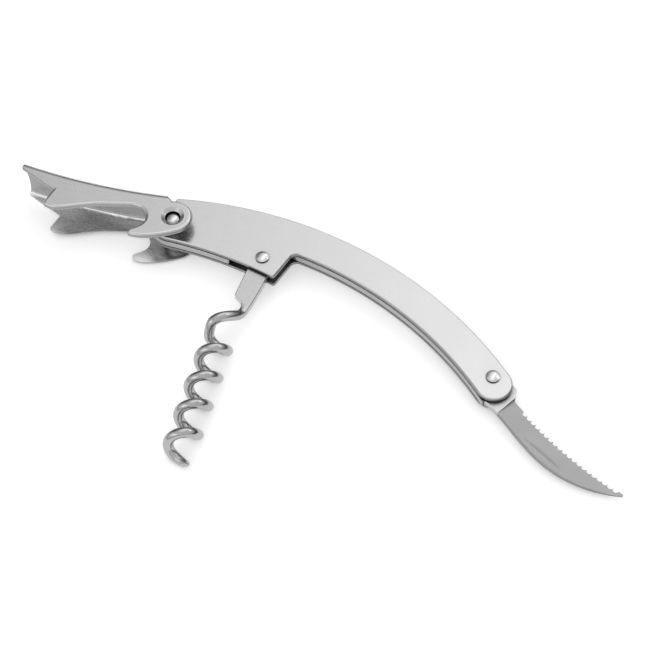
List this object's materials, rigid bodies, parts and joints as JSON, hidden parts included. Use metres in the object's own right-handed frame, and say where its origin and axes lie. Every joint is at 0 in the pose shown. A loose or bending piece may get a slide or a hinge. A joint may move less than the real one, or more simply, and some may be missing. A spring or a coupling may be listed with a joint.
{
  "type": "waiter's friend corkscrew",
  "caption": "Folding steel waiter's friend corkscrew: curved riveted handle with a stepped boot lever, a wire worm and a serrated foil knife, all opened flat.",
  "frame": {"origin": "middle of the opened tool's footprint, on the lowest face (the far cheek of the lever)", "axes": "+X from the lever's foot to the knife's tip, +Y to the convex back of the handle, +Z through the handle's thickness, along every rivet"},
  "size_m": [0.2008, 0.0836, 0.0146],
  "materials": {
    "handle_steel": "fine satin brushing, bright chamfered edges",
    "lever_steel": "satin, tumbled edges",
    "bar_steel": "ground edges",
    "rivet_steel": "polished domed heads",
    "worm_steel": "polished drawn wire",
    "blade_steel": "matte bead-blasted grind, bright edges",
    "washer_brass": "plain"
  },
  "bodies": {
    "handle": {"front_plate": "handle_steel", "rear_plate": "handle_steel", "nose_spacer": "bar_steel", "spring": "bar_steel", "locating_pins": "handle_steel", "lever_rivet": "rivet_steel", "worm_rivet": "rivet_steel", "worm_washers": "washer_brass", "knife_rivet": "rivet_steel", "knife_washers": "washer_brass"},
    "lever": {"lever": "lever_steel"},
    "worm": {"worm": "worm_steel"},
    "knife": {"knife": "blade_steel"}
  },
  "joints": [
    {"name": "lever_fold", "type": "hinge", "parent": "handle", "child": "lever", "pos_m": [-0.05062, 0.02119, 0.0073], "axis": [0, 0, 1], "range_deg": [0, 156]},
    {"name": "worm_fold", "type": "hinge", "parent": "handle", "child": "worm", "pos_m": [-0.02182, 0.02444, 0.0073], "axis": [0, 0, 1], "range_deg": [0, 68]},
    {"name": "knife_fold", "type": "hinge", "parent": "handle", "child": "knife", "pos_m": [0.05448, 0.0225, 0.0073], "axis": [0, 0, 1], "range_deg": [0, 178]}
  ],
  "couplings": [
    {"joint": "worm_fold", "follows": "lever_fold", "ratio": 0.4358}
  ]
}
